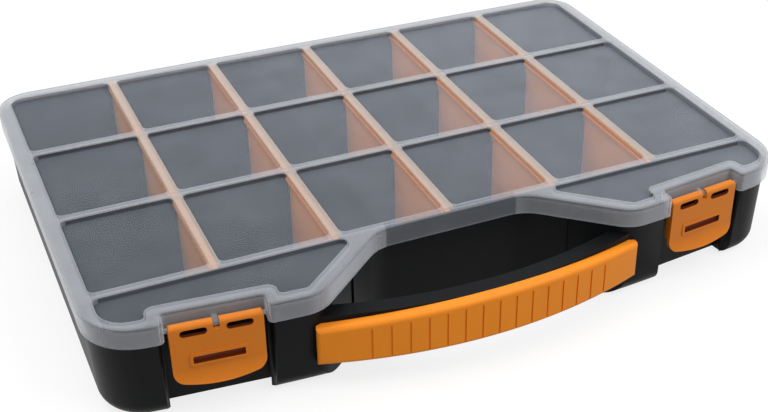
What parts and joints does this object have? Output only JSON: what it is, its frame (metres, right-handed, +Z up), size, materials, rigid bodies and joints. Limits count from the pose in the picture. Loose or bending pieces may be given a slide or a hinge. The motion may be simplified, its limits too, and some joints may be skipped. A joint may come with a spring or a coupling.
{
  "type": "compartment storage box",
  "caption": "Flat carrying case with a clear hinged lid, two snap latches, a bowed handle and a grid of removable dividers for small parts.",
  "frame": {"origin": "on the resting face, under the middle of the case's bounding box", "axes": "+X to the right along the case's length, +Y from the handle to the rear hinges, +Z up"},
  "size_m": [0.393, 0.296, 0.058],
  "materials": {
    "tub": "satin black moulded polypropylene",
    "lid": "milky translucent polypropylene",
    "latch": "satin orange moulded polypropylene",
    "grip": "satin orange moulded grip",
    "divider": "satin orange moulded polypropylene"
  },
  "bodies": {
    "tub": {"tub": "tub", "handle_grip": "grip", "divider_front_1": "divider", "divider_front_2": "divider", "divider_front_3": "divider", "divider_front_4": "divider", "divider_front_5": "divider", "divider_middle_1": "divider", "divider_middle_2": "divider", "divider_middle_3": "divider", "divider_middle_4": "divider", "divider_middle_5": "divider", "divider_back_1": "divider", "divider_back_2": "divider", "divider_back_3": "divider", "divider_back_4": "divider", "divider_back_5": "divider"},
    "lid": {"lid": "lid"},
    "latch_left": {"latch_left": "latch"},
    "latch_right": {"latch_right": "latch"}
  },
  "joints": [
    {"name": "lid_hinge", "type": "hinge", "parent": "tub", "child": "lid", "pos_m": [0, 0.14445, 0.042], "axis": [-1, 0, 0], "range_deg": [0, 180]},
    {"name": "latch_left_hinge", "type": "hinge", "parent": "lid", "child": "latch_left", "pos_m": [-0.13821, -0.12262, 0.0507], "axis": [-0.9945, 0.1043, 0], "range_deg": [0, 150]},
    {"name": "latch_right_hinge", "type": "hinge", "parent": "lid", "child": "latch_right", "pos_m": [0.13821, -0.12262, 0.0507], "axis": [-0.9945, -0.1043, 0], "range_deg": [0, 150]}
  ]
}
